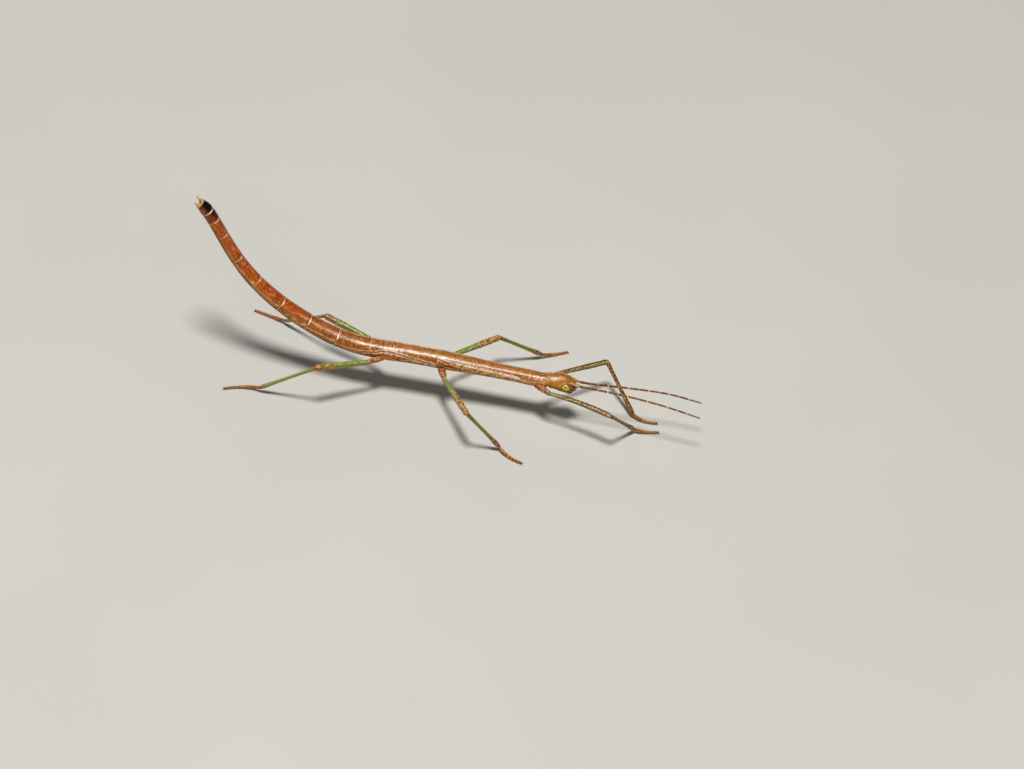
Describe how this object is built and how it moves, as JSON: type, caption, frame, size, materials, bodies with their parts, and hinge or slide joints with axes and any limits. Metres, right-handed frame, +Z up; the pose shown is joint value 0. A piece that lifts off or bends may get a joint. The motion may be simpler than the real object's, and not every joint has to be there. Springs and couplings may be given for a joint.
{
  "type": "stick insect",
  "caption": "slender wingless stick insect, life size, standing on its long thin legs with its ringed abdomen curled up behind and its feelers pointing forward",
  "frame": {"origin": "on the floor plane the six feet stand on, under the middle of the whole outline", "axes": "+X points out of the head along the straight part of the body, +Y to the insect's left, +Z up"},
  "size_m": [0.067, 0.0224, 0.027],
  "materials": {
    "cuticle": "satin",
    "leg_cuticle": "satin",
    "feeler_cuticle": "satin",
    "eye": "gloss",
    "claw": "satin"
  },
  "bodies": {
    "root": {"abdomen_02": "cuticle", "abdomen_03": "cuticle", "abdomen_04": "cuticle", "abdomen_05": "cuticle", "abdomen_06": "cuticle", "abdomen_07": "cuticle", "abdomen_08": "cuticle", "abdomen_09": "cuticle", "abdomen_10": "cuticle", "cercus_left": "cuticle", "cercus_right": "cuticle", "eye_left": "eye", "eye_right": "eye", "feeler_flagellum_left": "feeler_cuticle", "feeler_flagellum_right": "feeler_cuticle", "feeler_scape_left": "feeler_cuticle", "feeler_scape_right": "feeler_cuticle", "head": "cuticle", "leg_front_left_claws": "claw", "leg_front_left_coxa": "cuticle", "leg_front_left_femur": "leg_cuticle", "leg_front_left_tarsus": "leg_cuticle", "leg_front_left_tibia": "leg_cuticle", "leg_front_right_claws": "claw", "leg_front_right_coxa": "cuticle", "leg_front_right_femur": "leg_cuticle", "leg_front_right_tarsus": "leg_cuticle", "leg_front_right_tibia": "leg_cuticle", "leg_hind_left_claws": "claw", "leg_hind_left_coxa": "cuticle", "leg_hind_left_femur": "leg_cuticle", "leg_hind_left_tarsus": "leg_cuticle", "leg_hind_left_tibia": "leg_cuticle", "leg_hind_right_claws": "claw", "leg_hind_right_coxa": "cuticle", "leg_hind_right_femur": "leg_cuticle", "leg_hind_right_tarsus": "leg_cuticle", "leg_hind_right_tibia": "leg_cuticle", "leg_middle_left_claws": "claw", "leg_middle_left_coxa": "cuticle", "leg_middle_left_femur": "leg_cuticle", "leg_middle_left_tarsus": "leg_cuticle", "leg_middle_left_tibia": "leg_cuticle", "leg_middle_right_claws": "claw", "leg_middle_right_coxa": "cuticle", "leg_middle_right_femur": "leg_cuticle", "leg_middle_right_tarsus": "leg_cuticle", "leg_middle_right_tibia": "leg_cuticle", "median_segment": "cuticle", "mesothorax": "cuticle", "metathorax": "cuticle", "mouthparts": "cuticle", "prothorax": "cuticle"}
  },
  "joints": []
}
